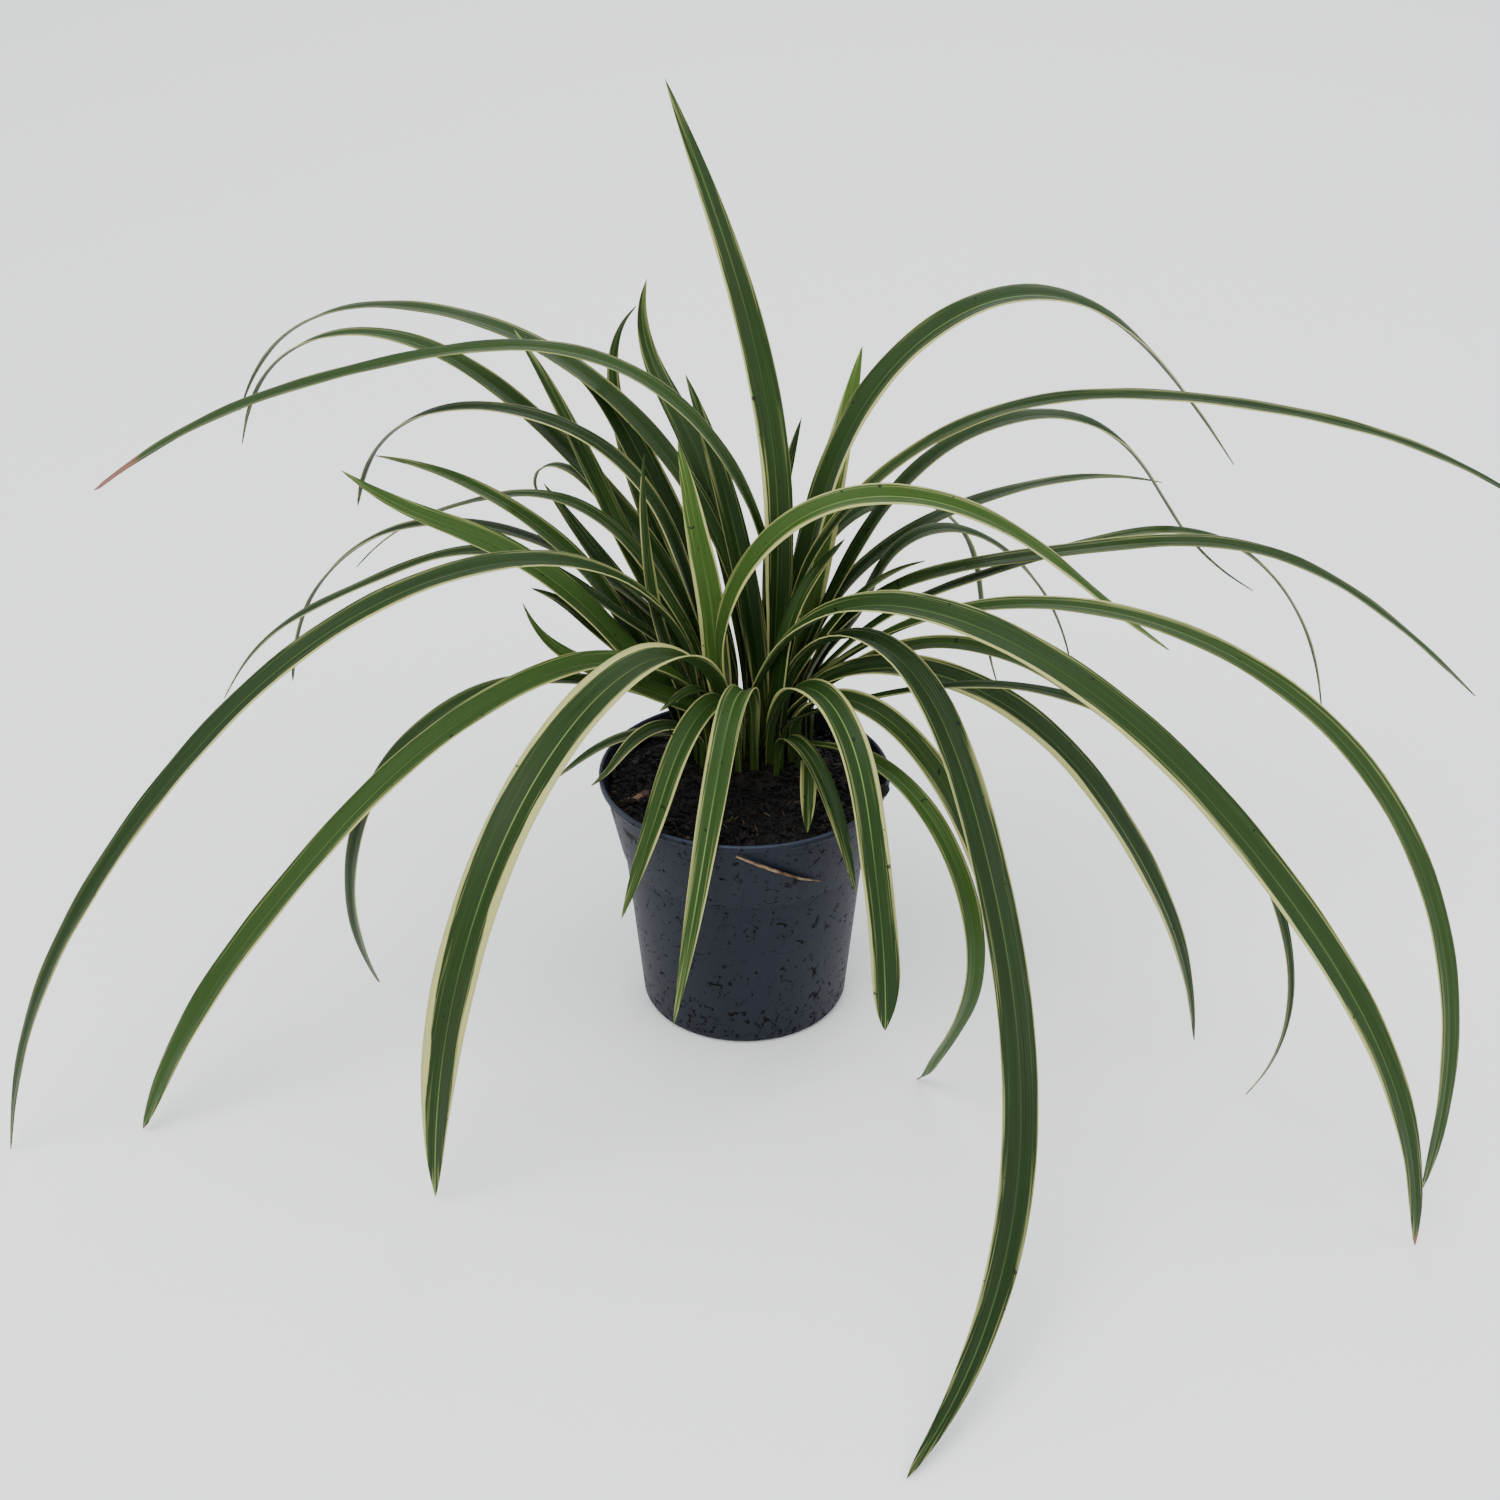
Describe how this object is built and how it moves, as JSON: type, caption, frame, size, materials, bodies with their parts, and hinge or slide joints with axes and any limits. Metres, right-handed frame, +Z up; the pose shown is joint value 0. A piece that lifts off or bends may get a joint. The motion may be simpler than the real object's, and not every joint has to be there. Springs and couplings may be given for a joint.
{
  "type": "potted carex",
  "caption": "Clump of long arching striped sedge leaves growing from potting mix in a small round flared nursery pot that stands on its flat base.",
  "frame": {"origin": "centre of the pot's flat base, on the surface it stands on", "axes": "+Z up out of the pot, -Y towards the front of the plant, +X to the plant's right seen from the front"},
  "size_m": [0.5376, 0.3928, 0.3219],
  "materials": {
    "pot_plastic": "satin moulded polypropylene",
    "potting_mix": "moist crumbly peat and bark",
    "crown_sheaths": "pale fibrous leaf sheaths",
    "leaf": "satin green leaf with cream edges",
    "fresh_leaf": "satin yellow-green young leaf"
  },
  "bodies": {
    "root": {"pot": "pot_plastic", "potting_mix": "potting_mix", "crown": "crown_sheaths", "leaf_left_1": "leaf", "leaf_right_1": "leaf", "leaf_front_left_1": "leaf", "leaf_front_right_1": "leaf", "leaf_left_2": "leaf", "leaf_right_2": "leaf", "leaf_right_3": "leaf", "leaf_back_1": "leaf", "leaf_left_3": "leaf", "leaf_left_4": "leaf", "leaf_right_4": "leaf", "leaf_right_5": "leaf", "leaf_right_6": "leaf", "leaf_right_7": "leaf", "leaf_left_5": "leaf", "leaf_back_left_1": "leaf", "leaf_back_left_2": "leaf", "leaf_centre_1": "leaf", "leaf_back_left_5": "leaf", "leaf_back_left_6": "leaf", "leaf_back_left_4": "leaf", "leaf_left_8": "leaf", "leaf_centre_2": "leaf", "leaf_front_right_5": "leaf", "leaf_centre_4": "leaf", "leaf_front_1": "leaf", "leaf_front_2": "leaf", "leaf_front_left_2": "leaf", "leaf_front_right_2": "leaf", "leaf_front_right_3": "leaf", "leaf_back_2": "fresh_leaf", "leaf_back_3": "leaf", "leaf_back_left_3": "leaf", "leaf_back_left_7": "leaf", "leaf_left_6": "leaf", "leaf_left_7": "fresh_leaf", "leaf_left_9": "leaf", "leaf_left_10": "fresh_leaf", "leaf_left_11": "leaf", "leaf_back_left_8": "leaf", "leaf_back_left_9": "leaf", "leaf_centre_3": "fresh_leaf", "leaf_back_4": "leaf", "leaf_right_8": "leaf", "leaf_right_9": "leaf", "leaf_right_10": "leaf", "leaf_right_11": "leaf", "leaf_right_12": "leaf", "leaf_right_13": "leaf", "leaf_front_left_3": "leaf", "leaf_left_12": "leaf", "leaf_left_13": "leaf", "leaf_front_right_4": "leaf", "leaf_back_5": "leaf", "leaf_right_14": "leaf"}
  },
  "joints": []
}
